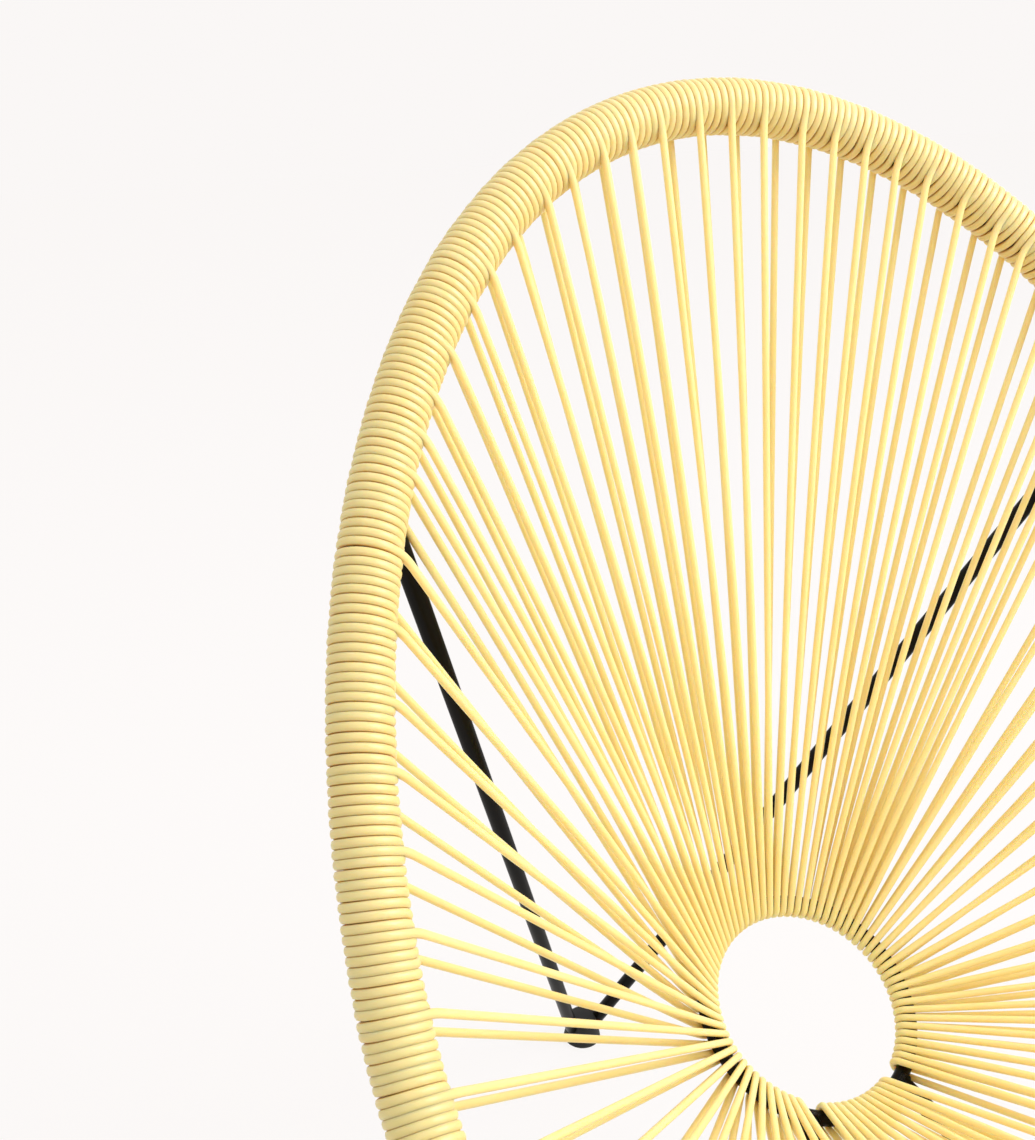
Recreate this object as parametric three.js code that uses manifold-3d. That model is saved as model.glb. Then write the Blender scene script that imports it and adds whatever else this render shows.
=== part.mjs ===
// Acapulco chair: a bent steel hoop wound with plastic cord, laced down to a small ring under the seat,
// on three feet made of bent rods. Millimetres, +Z up, the sitter faces -Y, the floor is Z = 0.
import * as THREE from 'three';
import { mergeVertices } from 'three/addons/utils/BufferGeometryUtils.js';
import Module from 'manifold-3d';

const wasm = await Module();
wasm.setup();

// Hoop: an egg outline drawn on a flat sheet, and the sheet bent in side view. Reaches are measured
// along the sheet, from the line where the hoop is widest.
const TUBE_DIAMETER = 25;
const HALF_WIDTH = 341;
const BACK_REACH = 506;
const FRONT_REACH = 490;
const BACK_LEAN_DEGREES = 37.6;
const SEAT_RISE_DEGREES = 4;
const BEND_REACH = 50;
const BEND_HEIGHT = 484;
const BEND_SETBACK = -25;
const BEND_RADIUS = 320;
const TUBE_SIDES = 8;

// Cord: turns in each group on the hoop, in the order of winding, from the middle of the back round the
// left side and the front. After each group the cord runs to the ring, round it and back.
const CORD_DIAMETER = 5;
const GROUP_TURNS = [
  ...[5, 6, 5, 5, 6, 5, 7, 6, 5, 7, 6, 5, 5, 9, 8, 8, 7],
  ...Array(16).fill(8),
  ...[7, 7, 7, 7, 7, 8, 8, 7, 7, 7],
  ...Array(16).fill(8),
  ...[7, 8, 8, 9, 5, 5, 6, 7, 5, 6, 6, 5, 5, 5, 5, 6, 5],
];
const CORD_COUNT = 12;
const LEAVING_TURNS = 1.6;
const ARRIVING_TURNS = 1;
const TURNS_PER_RIB = 3.5;
const GROOVE_DEPTH = 1.6;
const CORD_SIDES = 4;
const WRAP_SIDES = 8;
const LOOP_STEPS = 3;

// Ring under the seat, tipped up at the back.
const RING_RADIUS = 75;
const RING_ROD_DIAMETER = 10;
const RING_SETBACK = 75;
const RING_HEIGHT = 272.5;
const RING_TILT_DEGREES = 32;
const RING_SEGMENTS = 40;
const RING_ROD_SIDES = 8;

// Legs: round rod, welded to the hoop at so many turns from the middle of the back.
const LEG_ROD_DIAMETER = 12;
const LEG_SIDES = 12;
const REAR_WELD_TURNS = 74.4;
const REAR_FOOT_SETBACK = 394;
const REAR_BEND_RADIUS = 14;
const FRONT_WELD_TURNS = 205;
const FRONT_FOOT_HALF_SPAN = 225;
const FRONT_FOOT_SETBACK = -330;
const FRONT_BEND_RADIUS = 20;
const BEND_STEPS = 6;
const SETTLING_STEPS = 6;
const PLACES_BEFORE_RING_WELD = 32;
const RING_WELD_ROOM_PLACES = 2.2;

// Rubber feet, moulded round the rods' bends.
const FOOT_RADIUS = 17;
const FOOT_TOP_RADIUS = 13;
const FOOT_HEIGHT = 27;
const FOOT_FLOOR = 6;
const FOOT_ROUNDING = 3;
const FOOT_ROUNDING_STEPS = 1;
const FOOT_SIDES = 18;

// Room left between pieces that touch.
const GAP = 0.3;

const radians = THREE.MathUtils.degToRad;
const tubeRadius = TUBE_DIAMETER / 2;
const cordRadius = CORD_DIAMETER / 2;
const wrapRadius = tubeRadius + cordRadius;
const legRadius = LEG_ROD_DIAMETER / 2;
const ringRodRadius = RING_ROD_DIAMETER / 2;

// A point of the bent sheet at a reach from the widest line, with the sheet's slope there.
function sheetAt(reach) {
  const backSlope = Math.PI / 2 - radians(BACK_LEAN_DEGREES);
  const frontSlope = -radians(SEAT_RISE_DEGREES);
  const along = Math.max(BEND_REACH - reach, 0);
  const bent = Math.min(along / BEND_RADIUS, backSlope - frontSlope);
  const slope = backSlope - bent;
  const straight = reach > BEND_REACH ? reach - BEND_REACH : bent * BEND_RADIUS - along;
  const y = BEND_SETBACK - BEND_RADIUS * (Math.sin(backSlope) - Math.sin(slope));
  const z = BEND_HEIGHT - BEND_RADIUS * (Math.cos(slope) - Math.cos(backSlope));
  return { y: y + straight * Math.cos(slope), z: z + straight * Math.sin(slope), slope };
}

// Centre-line of the hoop, from the middle of the back round the left side (-X) and home.
class HoopCurve extends THREE.Curve {
  reachAt(t) {
    const along = Math.cos(2 * Math.PI * t);
    return along * (along > 0 ? BACK_REACH : FRONT_REACH);
  }

  getPoint(t) {
    const sheet = sheetAt(this.reachAt(t));
    return new THREE.Vector3(-HALF_WIDTH * Math.sin(2 * Math.PI * t), sheet.y, sheet.z);
  }
}

const hoopCurve = new HoopCurve();
hoopCurve.arcLengthDivisions = 2000;

// Group boundaries, counted in turns from the middle of the back.
const groupCount = GROUP_TURNS.length;
const boundaryTurns = [0];
for (const turns of GROUP_TURNS) boundaryTurns.push(boundaryTurns.at(-1) + turns);
const totalTurns = boundaryTurns.at(-1);
const turnPitch = hoopCurve.getLength() / totalTurns;

// Place on the hoop at a count of turns: centre, tangent, and the sheet's normal on the sitter's side.
function hoopPlace(turn) {
  const share = THREE.MathUtils.euclideanModulo(turn / totalTurns, 1);
  const centre = hoopCurve.getPointAt(share);
  const tangent = hoopCurve.getTangentAt(share);
  const { slope } = sheetAt(hoopCurve.reachAt(hoopCurve.getUtoTmapping(share)));
  const normal = new THREE.Vector3(0, -Math.sin(slope), Math.cos(slope));
  const side = new THREE.Vector3().crossVectors(tangent, normal);
  return { centre, tangent, normal, side };
}

// Ring of points round the hoop at a count of turns.
function hoopSection(turn, radius, sides) {
  const { centre, normal, side } = hoopPlace(turn);
  return Array.from({ length: sides }, (_, i) => {
    const angle = (2 * Math.PI * i) / sides;
    return centre.clone().addScaledVector(normal, radius * Math.cos(angle))
      .addScaledVector(side, radius * Math.sin(angle));
  });
}

// Closed skin through rings of points: a loop, or a length with flat ends.
function skin(rings, isLoop) {
  const sides = rings[0].length;
  const index = [];
  const joins = isLoop ? rings.length : rings.length - 1;
  for (let r = 0; r < joins; r += 1) {
    const low = r * sides;
    const high = ((r + 1) % rings.length) * sides;
    for (let i = 0; i < sides; i += 1) {
      const next = (i + 1) % sides;
      index.push(low + i, low + next, high + i);
      index.push(low + next, high + next, high + i);
    }
  }
  if (!isLoop) {
    const last = (rings.length - 1) * sides;
    for (let i = 1; i < sides - 1; i += 1) {
      index.push(0, i + 1, i);
      index.push(last, last + i, last + i + 1);
    }
  }
  const geometry = new THREE.BufferGeometry().setFromPoints(rings.flat());
  geometry.setIndex(index);
  return geometry;
}

// A path of straight runs and bends that gives a rod's section only where it is needed.
class RodPath extends THREE.Curve {
  constructor(stations) {
    super();
    this.stations = stations;
  }

  stationAt(share) {
    return this.stations[Math.round(share * (this.stations.length - 1))];
  }

  getPointAt(share) {
    return this.stationAt(share).point.clone();
  }

  getTangentAt(share) {
    return this.stationAt(share).tangent.clone();
  }

  get steps() {
    return this.stations.length - 1;
  }
}

// Stations from start to end with one round bend at the corner.
function bentStations(start, corner, end, bendRadius) {
  const inward = start.clone().sub(corner).normalize();
  const outward = end.clone().sub(corner).normalize();
  const half = inward.angleTo(outward) / 2;
  const middle = inward.clone().add(outward).normalize();
  const centre = corner.clone().addScaledVector(middle, bendRadius / Math.sin(half));
  const toFirst = corner.clone().addScaledVector(inward, bendRadius / Math.tan(half)).sub(centre);
  const axis = new THREE.Vector3().crossVectors(outward, inward).normalize();
  const sweep = Math.PI - 2 * half;
  const arrival = inward.clone().negate();
  const stations = [{ point: start, tangent: arrival }];
  for (let i = 0; i <= BEND_STEPS; i += 1) {
    const turned = (sweep * i) / BEND_STEPS;
    const point = toFirst.clone().applyAxisAngle(axis, turned).add(centre);
    stations.push({ point, tangent: arrival.clone().applyAxisAngle(axis, turned) });
  }
  stations.push({ point: end, tangent: outward });
  return stations;
}

// Round rod along stations, as an extruded section.
function rodGeometry(stations, radius, sides) {
  const path = new RodPath(stations);
  const outline = Array.from({ length: sides }, (_, i) => {
    const angle = (2 * Math.PI * i) / sides;
    return new THREE.Vector2(radius * Math.cos(angle), radius * Math.sin(angle));
  });
  const options = { steps: path.steps, extrudePath: path, bevelEnabled: false };
  return new THREE.ExtrudeGeometry(new THREE.Shape(outline), options);
}

// Solids for joining and cutting.
function toSolid(geometry) {
  const bare = geometry.clone();
  bare.deleteAttribute('normal');
  bare.deleteAttribute('uv');
  const merged = mergeVertices(bare);
  const vertProperties = new Float32Array(merged.attributes.position.array);
  const triVerts = new Uint32Array(merged.index.array);
  return new wasm.Manifold(new wasm.Mesh({ numProp: 3, vertProperties, triVerts }));
}

function toGeometry(solid) {
  const { vertProperties, triVerts } = solid.getMesh();
  const geometry = new THREE.BufferGeometry();
  geometry.setAttribute('position', new THREE.BufferAttribute(new Float32Array(vertProperties), 3));
  geometry.setIndex(new THREE.BufferAttribute(new Uint32Array(triVerts), 1));
  geometry.computeVertexNormals();
  return geometry;
}

// Hoop tube, with a section at each group boundary.
function hoopGeometry(radius, sides) {
  return skin(boundaryTurns.slice(0, -1).map((turn) => hoopSection(turn, radius, sides)), true);
}

// The ring's places are even, with more room at the two front legs' welds.
const ringRotation = new THREE.Euler(radians(RING_TILT_DEGREES), 0, 0);
const ringCentre = new THREE.Vector3(0, RING_SETBACK, RING_HEIGHT);
const placeAngle = (2 * Math.PI) / (groupCount + 2 * RING_WELD_ROOM_PLACES);

function ringPlace(position) {
  const mirrored = Math.min(position, groupCount - position);
  const room = mirrored > PLACES_BEFORE_RING_WELD ? RING_WELD_ROOM_PLACES : 0;
  const turned = (mirrored + room) * placeAngle;
  const angle = position > mirrored ? -turned : turned;
  const outward = new THREE.Vector3(-Math.sin(angle), Math.cos(angle), 0).applyEuler(ringRotation);
  const tangent = new THREE.Vector3(-Math.cos(angle), -Math.sin(angle), 0).applyEuler(ringRotation);
  return { centre: ringCentre.clone().addScaledVector(outward, RING_RADIUS), outward, tangent };
}

function ringWeld() {
  const angle = (PLACES_BEFORE_RING_WELD + (1 + RING_WELD_ROOM_PLACES) / 2) * placeAngle;
  const outward = new THREE.Vector3(-Math.sin(angle), Math.cos(angle), 0).applyEuler(ringRotation);
  return ringCentre.clone().addScaledVector(outward, RING_RADIUS);
}

// Where a trip of the cord leaves its winding: early enough to be clear of the next group's turns if it
// leans towards them.
function tripPlace(boundary, turnsBefore, target) {
  const turn = boundaryTurns[boundary] - turnsBefore;
  const { centre, tangent } = hoopPlace(turn);
  const run = target.clone().sub(centre).normalize();
  const lean = run.dot(tangent);
  const clearance = Math.sqrt((wrapRadius + CORD_DIAMETER) ** 2 - wrapRadius ** 2);
  const drift = (clearance * lean) / Math.sqrt(1 - lean * lean);
  return hoopPlace(turn - Math.max(drift, 0) / turnPitch);
}

// One trip of the cord: off the hoop on the sitter's side, over the ring, round its inner side, and back
// to the underside of the hoop.
function lacingStations(boundary) {
  const ring = ringPlace(boundary % groupCount);
  const leaving = tripPlace(boundary, LEAVING_TURNS, ring.centre);
  const arriving = tripPlace(boundary, ARRIVING_TURNS, ring.centre);
  const run = leaving.centre.clone().sub(ring.centre).normalize();
  const out = run.clone().addScaledVector(ring.tangent, -run.dot(ring.tangent)).normalize();
  const over = new THREE.Vector3().crossVectors(ring.tangent, out).normalize();
  if (over.dot(leaving.normal) < 0) over.negate();
  const loopRadius = (ringRodRadius + GAP + cordRadius) / Math.cos(Math.PI / LOOP_STEPS / 2);
  const tangentPoint = (place, direction) => {
    const flat = over.clone().addScaledVector(place.tangent, -over.dot(place.tangent)).normalize();
    return place.centre.clone().addScaledVector(flat, direction * wrapRadius);
  };
  const points = [tangentPoint(leaving, 1)];
  for (let i = 0; i <= LOOP_STEPS; i += 1) {
    const angle = (Math.PI * i) / LOOP_STEPS;
    points.push(ring.centre.clone().addScaledVector(over, loopRadius * Math.cos(angle))
      .addScaledVector(out, -loopRadius * Math.sin(angle)));
  }
  points.push(tangentPoint(arriving, -1));
  return points.map((point, i) => {
    const before = points[Math.max(i - 1, 0)];
    const after = points[Math.min(i + 1, points.length - 1)];
    const arrive = point.clone().sub(before).normalize();
    const leave = after.clone().sub(point).normalize();
    return { point, tangent: arrive.add(leave).normalize() };
  });
}

// Winding of some groups: ribs along the hoop, each standing for a few turns.
function wrapGeometry(firstGroup, lastGroup) {
  const room = GAP / turnPitch / 2;
  const start = boundaryTurns[firstGroup] + room;
  const end = boundaryTurns[lastGroup] - room;
  const ribs = GROUP_TURNS.slice(firstGroup, lastGroup)
    .reduce((sum, turns) => sum + Math.round(turns / TURNS_PER_RIB), 0);
  const crestRadius = tubeRadius + CORD_DIAMETER;
  const rings = [];
  for (let i = 0; i < ribs; i += 1) {
    const turn = start + ((end - start) * i) / ribs;
    const half = (end - start) / ribs / 2;
    rings.push(hoopSection(turn, crestRadius - GROOVE_DEPTH, WRAP_SIDES));
    rings.push(hoopSection(turn + half, crestRadius, WRAP_SIDES));
  }
  rings.push(hoopSection(end, crestRadius - GROOVE_DEPTH, WRAP_SIDES));
  return skin(rings, false);
}

// Bore for the tube, cut along the same straight runs as the tube has.
function boreGeometry(firstGroup, lastGroup) {
  const radius = (tubeRadius + GAP) / Math.cos(Math.PI / WRAP_SIDES);
  const rings = [];
  for (let i = firstGroup - 1; i <= lastGroup + 1; i += 1) {
    const wrapped = THREE.MathUtils.euclideanModulo(i, groupCount);
    rings.push(hoopSection(boundaryTurns[wrapped], radius, WRAP_SIDES));
  }
  return skin(rings, false);
}

// Legs. The corner of each bend is lowered until the bend's underside stands on the foot's floor.
function standOnFloor(makeStations) {
  let cornerHeight = 0;
  let stations = makeStations(cornerHeight);
  for (let step = 0; step < SETTLING_STEPS; step += 1) {
    const lowest = Math.min(...stations.map(({ point }) => point.z));
    cornerHeight += FOOT_FLOOR + legRadius - lowest;
    stations = makeStations(cornerHeight);
  }
  return stations;
}

const rearWeld = hoopPlace(REAR_WELD_TURNS).centre;
const rearStations = standOnFloor((height) => bentStations(
  rearWeld,
  new THREE.Vector3(0, REAR_FOOT_SETBACK, height),
  rearWeld.clone().setX(-rearWeld.x),
  REAR_BEND_RADIUS,
));
const frontWeld = hoopPlace(FRONT_WELD_TURNS).centre;
const leftStations = standOnFloor((height) => bentStations(
  frontWeld,
  new THREE.Vector3(-FRONT_FOOT_HALF_SPAN, FRONT_FOOT_SETBACK, height),
  ringWeld(),
  FRONT_BEND_RADIUS,
));
const flip = (vector) => vector.clone().setX(-vector.x);
const rightStations = leftStations.map(({ point, tangent }) => ({ point: flip(point), tangent: flip(tangent) }));

const ringGeometry = (radius) => new THREE.TorusGeometry(RING_RADIUS, radius, RING_ROD_SIDES, RING_SEGMENTS)
  .rotateX(radians(RING_TILT_DEGREES)).translate(0, RING_SETBACK, RING_HEIGHT);

// A leg's ends are coped to the hoop tube and to the ring.
function legGeometry(stations) {
  const reach = (radius, sides) => (radius + GAP) / Math.cos(Math.PI / sides);
  const hoopRoom = toSolid(hoopGeometry(reach(tubeRadius, TUBE_SIDES), TUBE_SIDES));
  const ringRoom = toSolid(ringGeometry(reach(ringRodRadius, RING_ROD_SIDES)));
  const whole = toSolid(rodGeometry(stations, legRadius, LEG_SIDES)).subtract(hoopRoom).subtract(ringRoom);
  const pieces = whole.decompose();
  return toGeometry(pieces.reduce((best, piece) => (piece.volume() > best.volume() ? piece : best)));
}

// The room that a leg's rod needs in what it passes through.
function roomFor(stations, sides) {
  return toSolid(rodGeometry(stations, (legRadius + GAP) / Math.cos(Math.PI / sides), sides));
}

const legRoom = [rearStations, leftStations, rightStations].map((stations) => roomFor(stations, WRAP_SIDES));

// Foot: a tapered rubber pad under the lowest point of a bend.
function footGeometry(stations) {
  const lowest = stations.reduce((best, { point }) => (point.z < best.z ? point : best), stations[0].point);
  const profile = new THREE.Path();
  profile.moveTo(0, 0);
  profile.lineTo(FOOT_RADIUS - FOOT_ROUNDING, 0);
  profile.quadraticCurveTo(FOOT_RADIUS, 0, FOOT_RADIUS, FOOT_ROUNDING);
  profile.lineTo(FOOT_TOP_RADIUS, FOOT_HEIGHT - FOOT_ROUNDING);
  profile.quadraticCurveTo(FOOT_TOP_RADIUS, FOOT_HEIGHT, FOOT_TOP_RADIUS - FOOT_ROUNDING, FOOT_HEIGHT);
  profile.lineTo(0, FOOT_HEIGHT);
  const body = new THREE.LatheGeometry(profile.getPoints(FOOT_ROUNDING_STEPS), FOOT_SIDES).rotateX(Math.PI / 2)
    .translate(lowest.x, lowest.y, 0);
  return toGeometry(toSolid(body).subtract(roomFor(stations, LEG_SIDES)));
}

// One length of cord: its winding and its trips to the ring, cut free of the tube and the legs.
function cordGeometry(firstGroup, lastGroup) {
  let solid = toSolid(wrapGeometry(firstGroup, lastGroup));
  for (let boundary = firstGroup + 1; boundary <= lastGroup; boundary += 1) {
    solid = solid.add(toSolid(rodGeometry(lacingStations(boundary), cordRadius, CORD_SIDES)));
  }
  solid = solid.subtract(toSolid(boreGeometry(firstGroup, lastGroup)));
  for (const room of legRoom) solid = solid.subtract(room);
  return toGeometry(solid);
}

const paint = new THREE.MeshStandardMaterial({ color: 0x151515, roughness: 0.45, metalness: 0.3 });
const vinyl = new THREE.MeshStandardMaterial({ color: 0xe9d58c, roughness: 0.35, metalness: 0 });
const rubber = new THREE.MeshStandardMaterial({ color: 0x1c1c1c, roughness: 0.8, metalness: 0 });

const chair = new THREE.Group();

function addPiece(name, geometry, material) {
  const mesh = new THREE.Mesh(geometry, material);
  mesh.name = name;
  chair.add(mesh);
}

addPiece('rim_hoop', hoopGeometry(tubeRadius, TUBE_SIDES), paint);
addPiece('inner_ring', ringGeometry(ringRodRadius), paint);
addPiece('rear_leg', legGeometry(rearStations), paint);
addPiece('front_leg_left', legGeometry(leftStations), paint);
addPiece('front_leg_right', legGeometry(rightStations), paint);
addPiece('foot_rear', footGeometry(rearStations), rubber);
addPiece('foot_front_left', footGeometry(leftStations), rubber);
addPiece('foot_front_right', footGeometry(rightStations), rubber);

for (let length = 0; length < CORD_COUNT; length += 1) {
  const first = Math.round((length * groupCount) / CORD_COUNT);
  const last = Math.round(((length + 1) * groupCount) / CORD_COUNT);
  addPiece(`seat_cord_${String(length + 1).padStart(2, '0')}`, cordGeometry(first, last), vinyl);
}

// The origin is on the floor, under the middle of the chair's box.
const middle = new THREE.Box3().setFromObject(chair).getCenter(new THREE.Vector3());
chair.position.y = -middle.y;

export default chair;
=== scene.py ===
import math

import bpy
import numpy as np
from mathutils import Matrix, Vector


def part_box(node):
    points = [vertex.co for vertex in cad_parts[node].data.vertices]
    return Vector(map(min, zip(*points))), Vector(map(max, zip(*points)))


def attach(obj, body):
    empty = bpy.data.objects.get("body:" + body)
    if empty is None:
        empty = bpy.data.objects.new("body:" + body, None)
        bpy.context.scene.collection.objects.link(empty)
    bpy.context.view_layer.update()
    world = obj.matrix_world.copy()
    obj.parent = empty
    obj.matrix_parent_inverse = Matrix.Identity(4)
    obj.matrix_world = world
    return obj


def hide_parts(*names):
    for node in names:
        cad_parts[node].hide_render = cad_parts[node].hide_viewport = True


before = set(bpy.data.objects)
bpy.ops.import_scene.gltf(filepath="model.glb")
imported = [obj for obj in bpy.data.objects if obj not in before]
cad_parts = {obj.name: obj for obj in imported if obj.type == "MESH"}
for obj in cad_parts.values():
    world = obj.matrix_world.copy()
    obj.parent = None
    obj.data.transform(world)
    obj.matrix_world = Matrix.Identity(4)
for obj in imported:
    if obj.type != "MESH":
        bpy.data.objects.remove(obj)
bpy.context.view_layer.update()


# Rim hoop. One length of 25 mm steel tube, rolled to an egg-shaped outline and bent once more in side
# view, so that the back leans and the seat lies nearly level. It is welded shut and powder coated black.
TUBE_DIAMETER = 0.025
HALF_WIDTH = 0.341
BACK_REACH = 0.506
FRONT_REACH = 0.490
BACK_LEAN = math.radians(37.6)
SEAT_RISE = math.radians(4)
BEND_REACH = 0.050
BEND_HEIGHT = 0.484
BEND_RADIUS = 0.320
TUBE_SIDES = 32
TUBE_STATIONS = 420
TABLE_STEPS = 6000
PAINT_COLOUR = (0.0028, 0.0020, 0.0008, 1)
DUSTY_PAINT_COLOUR = (0.0055, 0.0042, 0.0022, 1)

tube_radius = TUBE_DIAMETER / 2
back_slope = math.pi / 2 - BACK_LEAN
front_slope = -SEAT_RISE


def sheet_at(reach):
    """Setback, height and slope of the bent sheet that carries the outline, from its bend's back end."""
    along = np.maximum(BEND_REACH - reach, 0)
    bent = np.minimum(along / BEND_RADIUS, back_slope - front_slope)
    slope = back_slope - bent
    straight = np.where(reach > BEND_REACH, reach - BEND_REACH, bent * BEND_RADIUS - along)
    setback = BEND_RADIUS * (np.sin(slope) - math.sin(back_slope)) + straight * np.cos(slope)
    height = BEND_RADIUS * (math.cos(back_slope) - np.cos(slope)) + straight * np.sin(slope)
    return setback, height, slope


def reach_at(turned):
    """Reach along the sheet, from the widest line, at an angle round the egg."""
    along = np.cos(turned)
    return along * np.where(along > 0, BACK_REACH, FRONT_REACH)


def node_middle(node):
    return sum(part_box(node), Vector()) / 2


# The hoop stands where the frame has it: its middle in side view is the middle of that node's box.
hoop_middle = node_middle("rim_hoop")
end_setbacks = [float(sheet_at(reach)[0]) for reach in (BACK_REACH, -FRONT_REACH)]
bend_setback = hoop_middle.y - sum(end_setbacks) / 2


def hoop_point(turned):
    """The tube's centre at an angle round the egg, from the middle of the back."""
    setback, height, _ = sheet_at(reach_at(turned))
    across = -HALF_WIDTH * np.sin(turned)
    return np.stack([across, bend_setback + setback, BEND_HEIGHT + height], axis=-1)


table_turned = np.linspace(0, 2 * math.pi, TABLE_STEPS + 1)
table_steps = np.linalg.norm(np.diff(hoop_point(table_turned), axis=0), axis=1)
table_lengths = np.concatenate(([0], np.cumsum(table_steps)))
hoop_length = table_lengths[-1]


def unit(vectors):
    return vectors / np.linalg.norm(vectors, axis=-1, keepdims=True)


def hoop_place(share):
    """Centre, tangent, sitter's side and outer side of the hoop at shares of its length."""
    lengths = np.mod(share, 1) * hoop_length
    turned = np.interp(lengths, table_lengths, table_turned)
    step = 2 * math.pi / TABLE_STEPS
    tangent = unit(hoop_point(turned + step) - hoop_point(turned - step))
    slope = sheet_at(reach_at(turned))[2]
    normal = np.stack([0 * slope, -np.sin(slope), np.cos(slope)], axis=-1)
    return hoop_point(turned), tangent, normal, np.cross(tangent, normal)


def ring_mesh(name, rings, closed=False):
    """A smooth skin through rings of points, with its ends capped unless it closes on itself."""
    count, sides = rings.shape[:2]
    faces = []
    for r in range(count if closed else count - 1):
        low, high = r * sides, (r + 1) % count * sides
        for i in range(sides):
            j = (i + 1) % sides
            faces.append((low + i, low + j, high + j, high + i))
    if not closed:
        faces += [tuple(range(sides))[::-1], tuple(range((count - 1) * sides, count * sides))]
    mesh = bpy.data.meshes.new(name)
    mesh.from_pydata(rings.reshape(-1, 3).tolist(), [], faces)
    mesh.shade_smooth()
    piece = bpy.data.objects.new(name, mesh)
    bpy.context.scene.collection.objects.link(piece)
    return piece


def circles(path, along, normals, radii, sides):
    """Rings of points square to a path, one round each of its points."""
    others = np.cross(along, normals)
    angles = np.linspace(0, 2 * math.pi, sides, endpoint=False)[None, :, None]
    around = np.cos(angles) * normals[:, None] + np.sin(angles) * others[:, None]
    return path[:, None] + np.broadcast_to(radii, len(path))[:, None, None] * around


def closed_bar(name, path, normals, radii, sides):
    """A round bar whose path closes on itself."""
    along = unit(np.roll(path, -1, axis=0) - np.roll(path, 1, axis=0))
    return ring_mesh(name, circles(path, along, normals, radii, sides), closed=True)


class Finish:
    """A material in the making: its shader, and the patterns on it, which are fixed to the piece."""

    def __init__(self, name):
        self.material = bpy.data.materials.new(name)
        self.material.use_nodes = True
        self.nodes = self.material.node_tree.nodes
        self.links = self.material.node_tree.links
        self.shader = self.nodes["Principled BSDF"]
        self.place = self.nodes.new("ShaderNodeTexCoord")

    def pattern(self, scale, detail):
        noise = self.nodes.new("ShaderNodeTexNoise")
        noise.inputs["Scale"].default_value = scale
        noise.inputs["Detail"].default_value = detail
        self.links.new(self.place.outputs["Object"], noise.inputs["Vector"])
        return noise.outputs["Fac"]

    def shades(self, pattern, start, start_colour, end, end_colour):
        """A colour that follows a pattern, from one colour at its start to another at its end."""
        ramp = self.nodes.new("ShaderNodeValToRGB")
        ramp.color_ramp.elements[0].position = start
        ramp.color_ramp.elements[0].color = start_colour
        ramp.color_ramp.elements[1].position = end
        ramp.color_ramp.elements[1].color = end_colour
        self.links.new(pattern, ramp.inputs["Fac"])
        return ramp.outputs["Color"]

    def set_colour(self, colour):
        self.links.new(colour, self.shader.inputs["Base Color"])

    def set_roughness(self, pattern, least, most):
        span = self.nodes.new("ShaderNodeMapRange")
        span.inputs["To Min"].default_value = least
        span.inputs["To Max"].default_value = most
        self.links.new(pattern, span.inputs["Value"])
        self.links.new(span.outputs["Result"], self.shader.inputs["Roughness"])

    def set_relief(self, pattern, strength, depth):
        bump = self.nodes.new("ShaderNodeBump")
        bump.inputs["Strength"].default_value = strength
        bump.inputs["Distance"].default_value = depth
        self.links.new(pattern, bump.inputs["Height"])
        self.links.new(bump.outputs["Normal"], self.shader.inputs["Normal"])


def painted_steel():
    """Satin black powder coat: a fine orange peel, faint dust, and a slightly uneven gloss."""
    paint = Finish("black_powder_coat")
    paint.shader.inputs["Specular IOR Level"].default_value = 0.11
    cloud = paint.pattern(scale=9, detail=5)
    paint.set_colour(paint.shades(cloud, 0.35, PAINT_COLOUR, 0.75, DUSTY_PAINT_COLOUR))
    paint.set_roughness(cloud, least=0.24, most=0.38)
    orange_peel = paint.pattern(scale=620, detail=2)
    paint.set_relief(orange_peel, strength=0.10, depth=0.0004)
    return paint.material


steel = painted_steel()


def finish_piece(piece, material, slot, *nodes):
    """Gives a piece its material and its place on the chair, and hides the frame's parts that it stands
    for.
    """
    piece.data.materials.append(material)
    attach(piece, "root")
    if nodes:
        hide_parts(*nodes)


shares = np.arange(TUBE_STATIONS) / TUBE_STATIONS
centres, _, normals, _ = hoop_place(shares)
rim_tube = closed_bar("rim_tube", centres, normals, tube_radius, TUBE_SIDES)
finish_piece(rim_tube, steel, "steel", "rim_hoop")


# Ring under the seat. A 10 mm steel rod bent into a circle and welded shut. It takes the lower ends of
# all the cords and is tipped up at the back, square to their pull.
RING_RADIUS = 0.075
RING_ROD_DIAMETER = 0.010
RING_TILT = math.radians(32)
RING_SIDES = 24
RING_STATIONS = 160

ring_rod_radius = RING_ROD_DIAMETER / 2
ring_centre = np.array(node_middle("inner_ring"))
ring_axis = np.array([0, -math.sin(RING_TILT), math.cos(RING_TILT)])


def ring_directions(angle):
    """Outward and tangent directions of the ring at an angle from the middle of the back."""
    backward = np.array([0, math.cos(RING_TILT), math.sin(RING_TILT)])
    outward = math.cos(angle) * backward - math.sin(angle) * np.array([1, 0, 0])
    return outward, np.cross(ring_axis, outward)


ring_angles = [2 * math.pi * i / RING_STATIONS for i in range(RING_STATIONS)]
ring_outwards = np.array([ring_directions(angle)[0] for angle in ring_angles])
ring_path = ring_centre + RING_RADIUS * ring_outwards
ring_normals = np.tile(ring_axis, (RING_STATIONS, 1))
seat_ring = closed_bar("seat_ring", ring_path, ring_normals, ring_rod_radius, RING_SIDES)
finish_piece(seat_ring, steel, "steel", "inner_ring")


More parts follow.
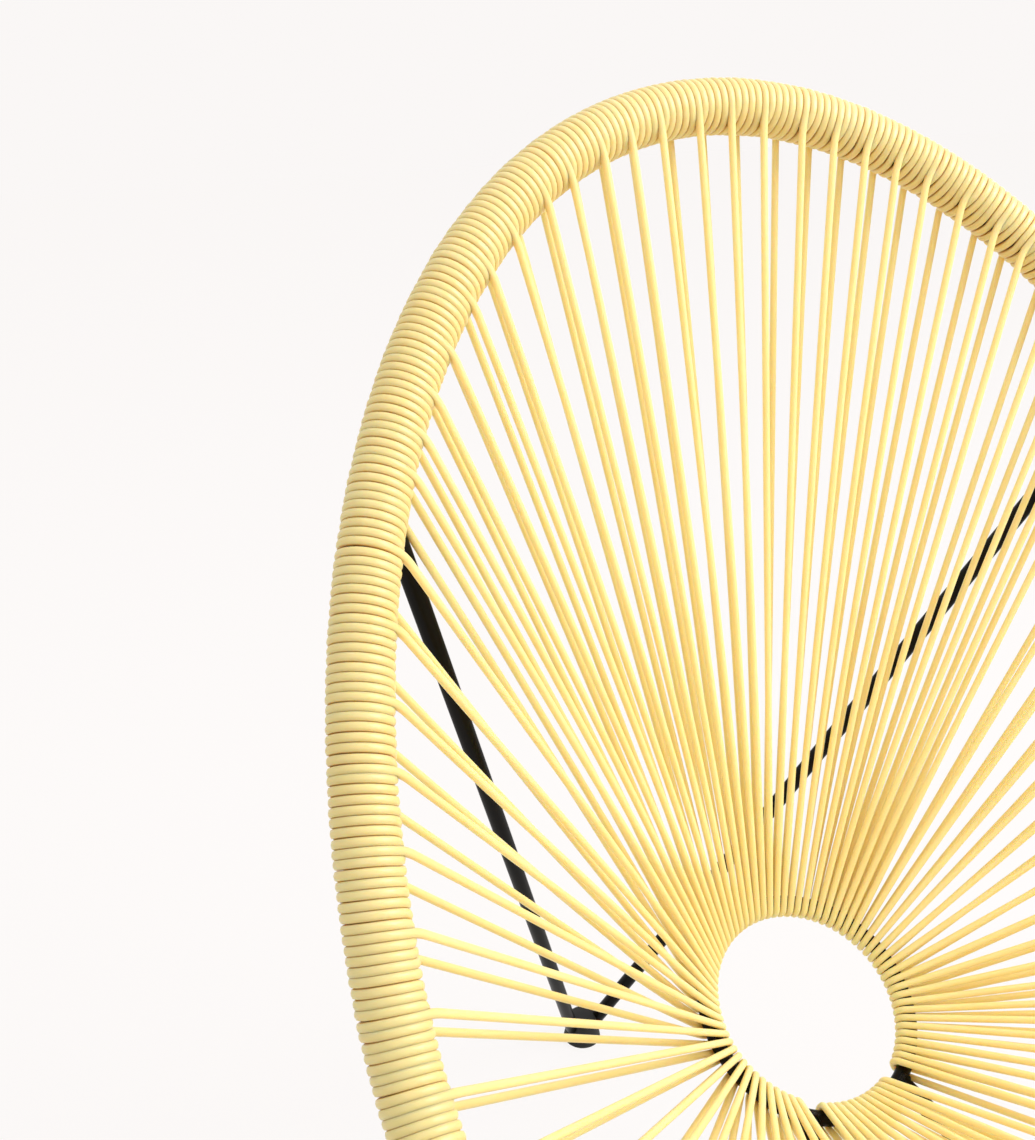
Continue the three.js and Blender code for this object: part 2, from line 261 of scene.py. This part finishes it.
# Cord plan. The cord is wound round the hoop in groups of turns, from the middle of the back round the
# left side and the front. After each group it runs down to the ring, round it and back.
CORD_DIAMETER = 0.005
LEFT_BACK_GROUPS = [5, 6, 5, 5, 6, 5, 7, 6, 5, 7, 6, 5, 5, 9, 8, 8, 7]
SIDE_GROUPS = 16 * [8]
FRONT_GROUPS = [7, 7, 7, 7, 7, 8, 8, 7, 7, 7]
RIGHT_BACK_GROUPS = [7, 8, 8, 9, 5, 5, 6, 7, 5, 6, 6, 5, 5, 5, 5, 6, 5]
LEAD_TURNS = 1.36
PLACES_BEFORE_RING_WELD = 32
RING_WELD_ROOM_PLACES = 2.2

cord_radius = CORD_DIAMETER / 2
wrap_radius = tube_radius + cord_radius
group_turns = LEFT_BACK_GROUPS + SIDE_GROUPS + FRONT_GROUPS + SIDE_GROUPS + RIGHT_BACK_GROUPS
group_count = len(group_turns)
boundary_turns = np.concatenate(([0], np.cumsum(group_turns)))
total_turns = int(boundary_turns[-1])
turn_pitch = hoop_length / total_turns
place_angle = 2 * math.pi / (group_count + 2 * RING_WELD_ROOM_PLACES)


# Legs. Bent 12 mm rod. The rear leg is one rod from arm to arm with its bend on the rear foot. Each
# front leg runs from the rim down to its foot and back up to the ring, which it holds.
LEG_ROD_DIAMETER = 0.012
REAR_WELD_TURNS = 74.4
REAR_BEND_RADIUS = 0.014
FRONT_WELD_TURNS = 205
FRONT_BEND_RADIUS = 0.020
FRONT_FOOT_HALF_SPAN = 0.225
FRONT_FOOT_SETBACK = -0.2594
REAR_FOOT_SETBACK = 0.4646
FOOT_FLOOR = 0.006
LEG_SIDES = 28
BEND_STATIONS = 20
SETTLING_STEPS = 8
END_INSET = 0.25
END_NARROWING = 0.75
NEARLY_UPRIGHT = 0.9
BEAD_RADIUS = 0.0016
BEAD_RIPPLES = 18
BEAD_RIPPLE_DEPTH = 0.12
BEAD_STATIONS = 72
BEAD_SIDES = 10

leg_radius = LEG_ROD_DIAMETER / 2


def bent_path(start, corner, end, bend_radius):
    """A straight run, a round bend near the corner, and a straight run."""
    inward, outward = unit(start - corner), unit(end - corner)
    half = math.acos(inward @ outward) / 2
    centre = corner + unit(inward + outward) * bend_radius / math.sin(half)
    first = corner + inward * bend_radius / math.tan(half) - centre
    axis = unit(np.cross(outward, inward))
    sweep = math.pi - 2 * half
    turned = np.linspace(0, sweep, BEND_STATIONS)[:, None]
    bend = centre + first * np.cos(turned) + np.cross(axis, first) * np.sin(turned)
    return np.concatenate(([start], bend, [end]))


def standing_path(start, corner_across, corner_setback, end, bend_radius):
    """The same path with its bend lowered until its underside stands on the foot's floor."""
    height = 0.0
    for _ in range(SETTLING_STEPS):
        corner = np.array([corner_across, corner_setback, height])
        path = bent_path(start, corner, end, bend_radius)
        height += FOOT_FLOOR + leg_radius - path[:, 2].min()
    return path


def mirrored(points):
    """The same points on the other side of the chair."""
    return np.asarray(points) * (-1, 1, 1)


def carried_normals(path, first):
    """Directions along and across a path at its points, the second carried on without twisting."""
    along = unit(np.gradient(path, axis=0))
    normals = np.empty_like(path)
    carried = np.asarray(first, float)
    for i, heading in enumerate(along):
        carried = unit(carried - heading * (heading @ carried))
        normals[i] = carried
    return along, normals


def open_bar(name, path, radius, sides):
    """A round bar along a path, with slightly rounded ends."""
    start = unit(path[1] - path[0])
    reference = (0.0, 0.0, 1.0) if abs(start[2]) < NEARLY_UPRIGHT else (1.0, 0.0, 0.0)
    along, normals = carried_normals(path, np.cross(start, reference))
    first = path[0] + along[0] * radius * END_INSET
    last = path[-1] - along[-1] * radius * END_INSET
    path = np.concatenate((path[:1], [first], path[1:-1], [last], path[-1:]))
    along = np.concatenate((along[:1], along, along[-1:]))
    normals = np.concatenate((normals[:1], normals, normals[-1:]))
    radii = np.full(len(path), radius)
    radii[[0, -1]] *= END_NARROWING
    return ring_mesh(name, circles(path, along, normals, radii, sides))


rear_weld = hoop_place(REAR_WELD_TURNS / total_turns)[0]
front_weld = hoop_place(FRONT_WELD_TURNS / total_turns)[0]
ring_weld_angle = (PLACES_BEFORE_RING_WELD + (1 + RING_WELD_ROOM_PLACES) / 2) * place_angle
ring_weld_outward, ring_weld_tangent = ring_directions(ring_weld_angle)
ring_weld = ring_centre + RING_RADIUS * ring_weld_outward
rear_path = standing_path(rear_weld, 0, REAR_FOOT_SETBACK, mirrored(rear_weld), REAR_BEND_RADIUS)
left_path = standing_path(
    front_weld, -FRONT_FOOT_HALF_SPAN, FRONT_FOOT_SETBACK, ring_weld, FRONT_BEND_RADIUS
)

for name, node, path in (
    ("rear_leg_rod", "rear_leg", rear_path),
    ("front_leg_left_rod", "front_leg_left", left_path),
    ("front_leg_right_rod", "front_leg_right", mirrored(left_path)),
):
    rod = open_bar(name, path, leg_radius, LEG_SIDES)
    finish_piece(rod, steel, "steel", node)


def weld_bead(name, foot, heading, bar_tangent, bar_radius):
    """The bead where a rod stands on a bar, built up of short overlapping puddles."""
    bar_tangent = unit(bar_tangent)
    first = unit(np.cross(heading, bar_tangent))
    second = np.cross(heading, first)
    flat_heading = heading - bar_tangent * (heading @ bar_tangent)
    slope = flat_heading @ flat_heading
    angles = np.linspace(0, 2 * math.pi, BEAD_STATIONS, endpoint=False)
    path = []
    for angle in angles:
        beside = leg_radius * (math.cos(angle) * first + math.sin(angle) * second)
        flat = beside - bar_tangent * (beside @ bar_tangent)
        behind = flat @ flat_heading
        inside = bar_radius ** 2 - flat @ flat
        climb = (-behind + math.sqrt(max(behind ** 2 + slope * inside, 0))) / slope
        path.append(foot + beside + heading * climb)
    radii = BEAD_RADIUS * (1 + BEAD_RIPPLE_DEPTH * np.sin(angles * BEAD_RIPPLES))
    normals = np.tile(heading, (BEAD_STATIONS, 1))
    return closed_bar(name, np.array(path), normals, radii, BEAD_SIDES)


def hoop_tangent(turn):
    return hoop_place(turn / total_turns)[1]


welds = [
    ("rear_weld_left", rear_path[0], rear_path[1], hoop_tangent(REAR_WELD_TURNS), tube_radius),
    ("front_weld_left", left_path[0], left_path[1], hoop_tangent(FRONT_WELD_TURNS), tube_radius),
    ("ring_weld_left", left_path[-1], left_path[-2], ring_weld_tangent, ring_rod_radius),
]
for name, foot, onward, bar_tangent, bar_radius in welds:
    heading = unit(onward - foot)
    bead = weld_bead(name, foot, heading, bar_tangent, bar_radius)
    finish_piece(bead, steel, "steel")
    other_name = name.replace("left", "right")
    bead = weld_bead(other_name, mirrored(foot), mirrored(heading), mirrored(bar_tangent), bar_radius)
    finish_piece(bead, steel, "steel")


# Feet. Black rubber pads moulded round the bends of the legs, with a rounded sole and a narrower neck.
# They hold the rods clear of the floor.
FOOT_RADIUS = 0.017
FOOT_TOP_RADIUS = 0.013
FOOT_HEIGHT = 0.027
FOOT_ROUNDING = 0.003
FOOT_SIDES = 72
ROUNDING_STEPS = 6
SHARP_EDGE = math.radians(40)
RUBBER_COLOUR = (0.012, 0.012, 0.012, 1)
DUSTY_RUBBER_COLOUR = (0.032, 0.031, 0.030, 1)


def moulded_rubber():
    """Matt black rubber with a fine grain and a little grey dust in it."""
    rubber = Finish("black_rubber")
    rubber.shader.inputs["Specular IOR Level"].default_value = 0.35
    grain = rubber.pattern(scale=900, detail=3)
    dust = rubber.pattern(scale=60, detail=6)
    rubber.set_colour(rubber.shades(dust, 0.45, RUBBER_COLOUR, 0.80, DUSTY_RUBBER_COLOUR))
    rubber.set_roughness(dust, least=0.62, most=0.85)
    rubber.set_relief(grain, strength=0.2, depth=0.0003)
    return rubber.material


def rounding(centre_radius, centre_height, start):
    """Radii and heights of a quarter circle in the foot's profile, from the start angle on."""
    turned = start + np.linspace(0, math.pi / 2, ROUNDING_STEPS)
    radii = centre_radius + FOOT_ROUNDING * np.cos(turned)
    heights = centre_height + FOOT_ROUNDING * np.sin(turned)
    return np.stack([radii, heights], axis=-1)


def turned_foot(name, across, setback):
    """The pad, turned from its profile: sole, rounded edge, tapered side and rounded shoulder."""
    edge = rounding(FOOT_RADIUS - FOOT_ROUNDING, FOOT_ROUNDING, -math.pi / 2)
    shoulder = rounding(FOOT_TOP_RADIUS - FOOT_ROUNDING, FOOT_HEIGHT - FOOT_ROUNDING, 0)
    profile = np.concatenate((edge, shoulder))
    radii, heights = profile[:, :1], profile[:, 1:]
    angles = np.linspace(0, 2 * math.pi, FOOT_SIDES, endpoint=False)
    x = across + radii * np.cos(angles)
    y = setback + radii * np.sin(angles)
    piece = ring_mesh(name, np.stack([x, y, np.broadcast_to(heights, x.shape)], axis=-1))
    edges = piece.modifiers.new("edges", "EDGE_SPLIT")
    edges.split_angle = SHARP_EDGE
    return piece


rubber = moulded_rubber()
for node in ("foot_rear", "foot_front_left", "foot_front_right"):
    middle = node_middle(node)
    pad = turned_foot(node + "_pad", middle.x, middle.y)
    finish_piece(pad, rubber, "rubber", node)


# Seat cord. Twelve lengths of 5 mm yellow vinyl cord, each wound turn beside turn on the hoop and laced
# over and round the ring. The cord leaves the hoop on the sitter's side, goes over the ring and round
# it, and comes back to the hoop's underside, where the next group of turns starts.
CORD_LENGTHS = 12
CORD_SIDES = 12
TURN_STATIONS = 30
STRAND_STATION = 0.02
MEETING_STEPS = 3
QUARTER_TURN = 0.25
BEND_RUN = 0.010
BEND_HALF_LENGTH = 0.008
BEND_STEPS = 8
LOOP_STATIONS = 14
RING_CLEARANCE = 0.0003
PRESSED_POWER = 2.8
PRESSED_WIDENING = 1.015
SNUG_SHARE = 0.90
SQUEEZED_LEAST = 0.72
TAUT_THINNING = 0.94
ROD_CLEARANCE = 0.0004
OPEN_BOUNDARY = 14
OPEN_GAP = 0.0011
OPEN_SPREAD_TURNS = 5
# Painted shade on the wound cord: where on its sides the grooves start to darken, and how much the whole
# wound part darkens.
GROOVE_START = 0.75
WOUND_SHADE_SHARE = 0.22
GATHER_ARC = 0.6
GATHER_FADE_ARC = 0.9
UNEVEN_PLACE_TURNS = 0.05
UNEVEN_HEIGHT = 0.00012
WELD_SPREAD = 0.045
WELD_ARC = 0.45
WELD_FADE_ARC = 0.9
WELD_CLEARANCE = 0.0011
VINYL_COLOUR = (0.890, 0.700, 0.310, 1)
PALE_VINYL_COLOUR = (0.930, 0.748, 0.362, 1)
# Painted shade colour for the wound turns and the grooves between them.
PAINTED_SHADE_COLOUR = (0.66, 0.40, 0.12, 1)
SEED = 7

rng = np.random.default_rng(SEED)
uneven_places = rng.normal(0, UNEVEN_PLACE_TURNS, total_turns + 1)
uneven_places[-1] = uneven_places[0]
uneven_heights = rng.normal(0, UNEVEN_HEIGHT, total_turns + 1)
uneven_heights[-1] = uneven_heights[0]
turn_marks = np.arange(total_turns + 1)

# One pair of turns on the left side stands a little apart, as in the photograph.
open_turns = turn_marks - (boundary_turns[OPEN_BOUNDARY] - LEAD_TURNS)
open_shares = np.sign(open_turns) * np.exp(-abs(open_turns) / OPEN_SPREAD_TURNS)
uneven_places += open_shares * OPEN_GAP / 2 / turn_pitch


def wound_angle(turn):
    """Angle round the tube, from the sitter's side towards the outer side, at a count of turns."""
    return math.pi / 2 - 2 * math.pi * (turn + LEAD_TURNS - 0.5)


def clear_of_rear_leg(corner, target):
    """The corner of a strand, moved aside where its run to the ring would touch the rear leg's rod."""
    need = leg_radius + cord_radius + ROD_CLEARANCE
    for weld, onward in ((rear_path[0], rear_path[1]), (rear_path[-1], rear_path[-2])):
        rod, run, away = unit(onward - weld), unit(target - corner), corner - weld
        skew = np.cross(rod, run)
        along = ((rod @ run) * (rod @ away) - run @ away) / (skew @ skew)
        gap = away @ unit(skew)
        if along > 0 and abs(gap) < need:
            corner = corner + math.copysign(need - abs(gap), gap) * unit(skew)
    return corner


def ring_place(boundary):
    """The angle round the ring at which the cord goes over it, with room left at the leg's weld."""
    position = boundary % group_count
    nearer = min(position, group_count - position)
    room = RING_WELD_ROOM_PLACES if nearer > PLACES_BEFORE_RING_WELD else 0
    angle = (nearer + room) * place_angle
    return -angle if position > nearer else angle


class Trip:
    """One trip of the cord from the hoop to the ring and back, at a boundary between two groups."""

    def __init__(self, boundary):
        self.base = boundary_turns[boundary % group_count] - LEAD_TURNS
        self.base += total_turns * (boundary // group_count)
        outward, self.ring_tangent = ring_directions(ring_place(boundary))
        self.ring = ring_centre + RING_RADIUS * outward
        self.loop_radius = ring_rod_radius + cord_radius + RING_CLEARANCE
        centre, _, normal, _ = hoop_place(self.base / total_turns)
        run = unit(centre - self.ring)
        self.run = run / np.linalg.norm(run - self.ring_tangent * (run @ self.ring_tangent))
        over = unit(np.cross(self.ring_tangent, run))
        self.over = over if over @ normal > 0 else -over
        self.leave_turn, leave_lean = self.meet(-QUARTER_TURN, 0.0, 1)
        self.arrive_turn, arrive_lean = self.meet(QUARTER_TURN, math.pi, -1)
        self.lean = (leave_lean + arrive_lean) / 2

    def meet(self, offset, level, side_sign):
        """The count of turns where a straight run to the ring touches the winding, and its lean."""
        target = self.ring + side_sign * self.loop_radius * self.over
        turn = self.base + offset
        for _ in range(MEETING_STEPS):
            centre, tangent, normal, side = hoop_place(turn / total_turns)
            away = target - centre
            distance = math.hypot(away @ normal, away @ side)
            angle = math.atan2(away @ side, away @ normal)
            angle += side_sign * math.acos(wrap_radius / distance)
            angle = (angle - level + math.pi) % (2 * math.pi) - math.pi
            turn = self.base + offset - angle / (2 * math.pi)
        return turn, (away @ tangent) / distance

    def bent(self, turn, target):
        """The bend near the hoop: the cord goes straight on past the next turn, then to the target."""
        start, _ = wound(turn)
        tangent = hoop_tangent(turn)
        heading = target - start
        heading = unit(heading - tangent * (heading @ tangent))
        corner = clear_of_rear_leg(start + BEND_RUN * heading, target)
        steps = np.linspace(0, 1, BEND_STEPS)[:, None]
        first = corner - BEND_HALF_LENGTH * unit(corner - start)
        last = corner + BEND_HALF_LENGTH * unit(target - corner)
        return first * (1 - steps) ** 2 + 2 * corner * steps * (1 - steps) + last * steps ** 2

    def path(self):
        """Points from the hoop over the ring, round its inner side and back under the hoop."""
        turned = np.linspace(0, math.pi, LOOP_STATIONS)[:, None]
        loop = self.ring + self.loop_radius * (np.cos(turned) * self.over - np.sin(turned) * self.run)
        down = self.bent(self.leave_turn, loop[0])
        up = self.bent(self.arrive_turn, loop[-1])[::-1]
        front = straight(down[-1], loop[0])
        back = straight(loop[-1], up[0])
        return np.concatenate((down, front, loop, back, up))


def straight(start, end):
    """The points between two ends of a straight run."""
    count = max(int(np.linalg.norm(end - start) / STRAND_STATION), 2)
    steps = np.linspace(0, 1, count + 1)[1:-1, None]
    return start + (end - start) * steps


# The turns lie a little on towards the side to which their strand leans, as its pull sets them.
trips = [Trip(boundary) for boundary in range(group_count)]
trip_turns = [trip.base for trip in trips]
trip_leans = [trip.lean for trip in trips]
pulled_places = BEND_RUN * np.interp(turn_marks, trip_turns, trip_leans, period=total_turns)
turn_shifts = pulled_places + uneven_places * turn_pitch
trip_middles = [(trip.leave_turn + trip.arrive_turn) / 2 - trip.base for trip in trips]


def near_share(off, full, spread):
    """1 out to the full distance, and from there smoothly down to 0."""
    fade = np.clip((off - full) / spread, 0, 1)
    return 1 - fade * fade * (3 - 2 * fade)


def gathered(turn):
    """How far the turns close up on the hoop's inner side, where the cord is away on its trips."""
    middle = np.interp(np.mod(turn, total_turns), trip_turns, trip_middles, period=total_turns)
    counted = turn + LEAD_TURNS - middle
    off = 2 * math.pi * abs(np.mod(counted + 0.5, 1) - 0.5)
    counted = np.mod(counted, total_turns)
    group = np.minimum(np.searchsorted(boundary_turns, counted, side="right") - 1, group_count - 1)
    size = np.asarray(group_turns)[group]
    place = (counted - boundary_turns[group]) / size - 0.5
    return turn_pitch * place * size / (size - 1) * near_share(off, GATHER_ARC, GATHER_FADE_ARC)


class Weld:
    """Room that the turns leave for a leg's rod where it stands on the hoop."""

    def __init__(self, turn, foot, onward):
        _, tangent, normal, side = hoop_place(turn / total_turns)
        heading = unit(onward - foot)
        self.angle = math.atan2(heading @ side, heading @ normal)
        flat = math.hypot(heading @ side, heading @ normal)
        pulled = np.interp(turn, turn_marks, pulled_places)
        self.turn = turn + (wrap_radius * (heading @ tangent) / flat - pulled) / turn_pitch
        half_turn = (wound_angle(self.turn) - self.angle - math.pi) / (2 * math.pi)
        self.split = self.turn + half_turn - round(half_turn)
        self.turn -= gathered(self.split + np.array([-0.5, 0.5])).mean() / turn_pitch
        self.clearance = (leg_radius + cord_radius + WELD_CLEARANCE) / flat

    def push(self, turn, angle):
        """How far, along the hoop, the turns stand aside at an angle round the tube."""
        side = np.sign(turn - self.split)
        away = abs(turn - self.split) * turn_pitch
        reach = self.clearance - turn_pitch / 2 + side * (self.turn - self.split) * turn_pitch
        off = abs(np.mod(angle - self.angle + math.pi, 2 * math.pi) - math.pi)
        return side * reach * np.exp(-away / WELD_SPREAD) * near_share(off, WELD_ARC, WELD_FADE_ARC)


leg_welds = [
    Weld(REAR_WELD_TURNS, rear_path[0], rear_path[1]),
    Weld(FRONT_WELD_TURNS, left_path[0], left_path[1]),
    Weld(total_turns - FRONT_WELD_TURNS, mirrored(left_path[0]), mirrored(left_path[1])),
    Weld(total_turns - REAR_WELD_TURNS, rear_path[-1], rear_path[-2]),
]


def set_place(turn):
    """How far along the hoop the cord lies at counts of turns, before the turns close up."""
    wrapped = np.mod(turn, total_turns)
    along = turn * turn_pitch + np.interp(wrapped, turn_marks, turn_shifts)
    for weld in leg_welds:
        along = along + weld.push(wrapped, wound_angle(turn))
    return along


def squeezed_width(turn):
    """The share of its width that the turns on both sides leave to the cord."""
    before, here, after = (set_place(turn + step) for step in (-1, 0, 1))
    room = np.minimum(here - before, after - here) / turn_pitch
    return np.clip(room / SNUG_SHARE, SQUEEZED_LEAST, 1)


def wound(turn):
    """Centre-line of the cord on the hoop at counts of turns, and the way out of the tube there."""
    turn = np.asarray(turn, float)
    angle = wound_angle(turn)
    radius = wrap_radius + np.interp(np.mod(turn, total_turns), turn_marks, uneven_heights)
    centre, _, normal, side = hoop_place((set_place(turn) + gathered(turn)) / hoop_length)
    radius, angle = radius[..., None], angle[..., None]
    outward = np.cos(angle) * normal + np.sin(angle) * side
    return centre + radius * outward, outward


def eased_normals(path, first, last):
    """Directions across a free stretch of cord, from the first one round to the last one."""
    along, normals = carried_normals(path, first)
    others = np.cross(along, normals)
    twist = math.atan2(last @ others[-1], last @ normals[-1])
    turned = twist * np.linspace(0, 1, len(path))[:, None]
    return normals * np.cos(turned) + others * np.sin(turned)


def cord_path(first, last):
    """One length of cord: its points, directions across it, and how pressed and wide it is there."""
    start = trips[first].arrive_turn
    points, normals, pressed, widths = [], [], [], []
    for boundary in range(first + 1, last + 1):
        trip = Trip(boundary)
        turns = np.linspace(start, trip.leave_turn, int((trip.leave_turn - start) * TURN_STATIONS))
        on_hoop, outward = wound(turns)
        free = trip.path()
        start = trip.arrive_turn
        points += [on_hoop, free]
        normals += [outward, eased_normals(free, outward[-1], wound(start)[1])]
        eased = np.zeros(len(free))
        eased[:BEND_STEPS] = np.linspace(1, 0, BEND_STEPS)
        eased[-BEND_STEPS:] = np.linspace(0, 1, BEND_STEPS)
        pressed += [np.ones(len(on_hoop)), eased]
        widths += [squeezed_width(turns), np.ones(len(free))]
    return [np.concatenate(parts) for parts in (points, normals, pressed, widths)]


def cord_skin(name, path, normals, pressed, widths):
    """A cord, squared a little where its neighbours press on it, and thinner where it is taut."""
    along = unit(np.gradient(path, axis=0))
    others = unit(np.cross(along, normals))
    normals = np.cross(others, along)
    angles = 2 * math.pi * (np.arange(CORD_SIDES) + 0.5) / CORD_SIDES
    pressed = pressed[:, None]
    power = 2 + (PRESSED_POWER - 2) * pressed
    corner = (abs(np.cos(angles)) ** power + abs(np.sin(angles)) ** power) ** (-1 / power)
    radius = cord_radius * corner * (TAUT_THINNING + (1 - TAUT_THINNING) * pressed)
    up = radius * np.cos(angles)
    across = radius * np.sin(angles) * (1 + (PRESSED_WIDENING - 1) * pressed) * widths[:, None]
    rings = path[:, None] + up[:, :, None] * normals[:, None] + across[:, :, None] * others[:, None]
    piece = ring_mesh(name, rings)
    # Painted shade: a mask that darkens the wound turns a little all over and most on their sides, where
    # they lie in the grooves between turns.
    painted_shade = piece.data.attributes.new("painted_shade", "FLOAT", "POINT")
    beside = np.clip((abs(np.sin(angles)) - GROOVE_START) / (1 - GROOVE_START), 0, 1)
    painted_shade.data.foreach_set("value", (pressed * (WOUND_SHADE_SHARE + (1 - WOUND_SHADE_SHARE) * beside)).ravel())
    return piece


def vinyl_cord():
    """Butter yellow soft vinyl: faint changes of colour, a soft sheen, a little light passing through,
    and painted shade on the wound turns, strongest in the grooves between them."""
    vinyl = Finish("yellow_vinyl_cord")
    vinyl.shader.inputs["IOR"].default_value = 1.5
    vinyl.shader.inputs["Specular IOR Level"].default_value = 0.6
    vinyl.shader.inputs["Subsurface Weight"].default_value = 1.0
    vinyl.shader.inputs["Subsurface Radius"].default_value = (1.0, 0.75, 0.4)
    vinyl.shader.inputs["Subsurface Scale"].default_value = 0.0055
    batch = vinyl.pattern(scale=14, detail=4)
    own_colour = vinyl.shades(batch, 0.30, VINYL_COLOUR, 0.70, PALE_VINYL_COLOUR)
    painted_shade = vinyl.nodes.new("ShaderNodeAttribute")
    painted_shade.attribute_name = "painted_shade"
    # Mixes the painted shade into the cord's own colour.
    with_painted_shade = vinyl.nodes.new("ShaderNodeMix")
    with_painted_shade.data_type = "RGBA"
    with_painted_shade.inputs["B"].default_value = PAINTED_SHADE_COLOUR
    vinyl.links.new(painted_shade.outputs["Fac"], with_painted_shade.inputs["Factor"])
    vinyl.links.new(own_colour, with_painted_shade.inputs["A"])
    vinyl.set_colour(with_painted_shade.outputs["Result"])
    fine = vinyl.pattern(scale=380, detail=4)
    vinyl.set_roughness(fine, least=0.30, most=0.46)
    vinyl.set_relief(fine, strength=0.08, depth=0.0003)
    return vinyl.material


vinyl = vinyl_cord()
for length in range(CORD_LENGTHS):
    first = round(length * group_count / CORD_LENGTHS)
    last = round((length + 1) * group_count / CORD_LENGTHS)
    number = f"{length + 1:02d}"
    cord = cord_skin("cord_length_" + number, *cord_path(first, last))
    finish_piece(cord, vinyl, "cord", "seat_cord_" + number)


# Stage. A plain matt floor that looks like a pale backdrop and takes the chair's faint shadow. Three
# soft lamps and an even pale sky light it, and the camera stands at the photograph's viewing angle.
FLOOR_SIZE = 12.0
FLOOR_COLOUR = (0.86, 0.855, 0.85, 1)
FLOOR_PLAIN_COLOUR = (0.989, 0.961, 0.950, 1)
FLOOR_PLAIN_SHARE = 0.9
BACKDROP_COLOUR = (0.956, 0.930, 0.920, 1)
AMBIENT_COLOUR = (1.0, 0.99, 0.98, 1)
AMBIENT = 0.72
CAMERA_PLACE = (-0.5233, -0.4593, 0.9315)
CAMERA_AZIMUTH = math.radians(-26.49)
CAMERA_ELEVATION = math.radians(23.33)
FOCAL_PIXELS = 1420.3
FRAME_HEIGHT_PIXELS = 1140
SENSOR = 36.0
NEAREST_SEEN = 0.01


def seen_share(nodes, links, share):
    """The share where the camera, a reflection or a clear piece looks, and 0 for the light."""
    rays = nodes.new("ShaderNodeLightPath")
    seen = rays.outputs["Is Camera Ray"]
    for kind in ("Is Glossy Ray", "Is Transmission Ray"):
        either = nodes.new("ShaderNodeMath")
        either.operation = "MAXIMUM"
        links.new(seen, either.inputs[0])
        links.new(rays.outputs[kind], either.inputs[1])
        seen = either.outputs["Value"]
    scaled = nodes.new("ShaderNodeMath")
    scaled.operation = "MULTIPLY"
    scaled.inputs[1].default_value = share
    links.new(seen, scaled.inputs[0])
    return scaled.outputs["Value"]


def pale_floor():
    """Matt off-white floor. What looks at it sees mostly the plain backdrop, with a faint shadow."""
    material = bpy.data.materials.new("pale_floor")
    material.use_nodes = True
    nodes, links = material.node_tree.nodes, material.node_tree.links
    shader = nodes["Principled BSDF"]
    shader.inputs["Base Color"].default_value = FLOOR_COLOUR
    shader.inputs["Roughness"].default_value = 0.9
    shader.inputs["Specular IOR Level"].default_value = 0.1
    plain = nodes.new("ShaderNodeEmission")
    plain.inputs["Color"].default_value = FLOOR_PLAIN_COLOUR
    plain.inputs["Strength"].default_value = 1.0
    choice = nodes.new("ShaderNodeMixShader")
    links.new(seen_share(nodes, links, FLOOR_PLAIN_SHARE), choice.inputs["Fac"])
    links.new(shader.outputs["BSDF"], choice.inputs[1])
    links.new(plain.outputs["Emission"], choice.inputs[2])
    links.new(choice.outputs["Shader"], nodes["Material Output"].inputs["Surface"])
    return material


bpy.ops.mesh.primitive_plane_add(size=FLOOR_SIZE)
floor = bpy.context.object
floor.name = "studio_floor"
floor.data.materials.append(pale_floor())

world = bpy.context.scene.world or bpy.data.worlds.new("studio")
bpy.context.scene.world = world
world.use_nodes = True
world_nodes, world_links = world.node_tree.nodes, world.node_tree.links
ambient = world_nodes["Background"]
ambient.inputs["Color"].default_value = AMBIENT_COLOUR
ambient.inputs["Strength"].default_value = AMBIENT
backdrop = world_nodes.new("ShaderNodeBackground")
backdrop.inputs["Color"].default_value = BACKDROP_COLOUR
backdrop.inputs["Strength"].default_value = 1.0
choice = world_nodes.new("ShaderNodeMixShader")
world_links.new(seen_share(world_nodes, world_links, 1.0), choice.inputs["Fac"])
world_links.new(ambient.outputs["Background"], choice.inputs[1])
world_links.new(backdrop.outputs["Background"], choice.inputs[2])
world_links.new(choice.outputs["Shader"], world_nodes["World Output"].inputs["Surface"])


def soft_lamp(name, place, aim, size, power, colour=(1, 1, 1)):
    """A square lamp with soft edges, turned to face the point it is aimed at."""
    lamp = bpy.data.lights.new(name, "AREA")
    lamp.size = size
    lamp.energy = power
    lamp.color = colour
    thing = bpy.data.objects.new(name, lamp)
    thing.location = place
    thing.rotation_euler = (Vector(aim) - Vector(place)).to_track_quat("-Z", "Y").to_euler()
    bpy.context.scene.collection.objects.link(thing)


soft_lamp("key", place=(1.8, -1.0, 2.4), aim=(0, 0.1, 0.5), size=1.6, power=74)
soft_lamp("sky", place=(-0.4, 0.1, 2.2), aim=(0, 0.4, 0.8), size=1.4, power=4.5, colour=(0.80, 0.91, 1.0))
soft_lamp("fill", place=(-2.2, -2.0, 1.8), aim=(0, 0.1, 0.45), size=2.2, power=6)

camera = bpy.data.cameras.new("camera")
camera.sensor_width = SENSOR
camera.lens = FOCAL_PIXELS * SENSOR / FRAME_HEIGHT_PIXELS
camera.clip_start = NEAREST_SEEN
seen = bpy.data.objects.new("camera", camera)
seen.location = CAMERA_PLACE
back = Vector((
    math.sin(CAMERA_AZIMUTH) * math.cos(CAMERA_ELEVATION),
    -math.cos(CAMERA_AZIMUTH) * math.cos(CAMERA_ELEVATION),
    math.sin(CAMERA_ELEVATION),
))
seen.rotation_euler = (-back).to_track_quat("-Z", "Y").to_euler()
bpy.context.scene.collection.objects.link(seen)
bpy.context.scene.camera = seen
bpy.context.scene.view_settings.view_transform = "Standard"
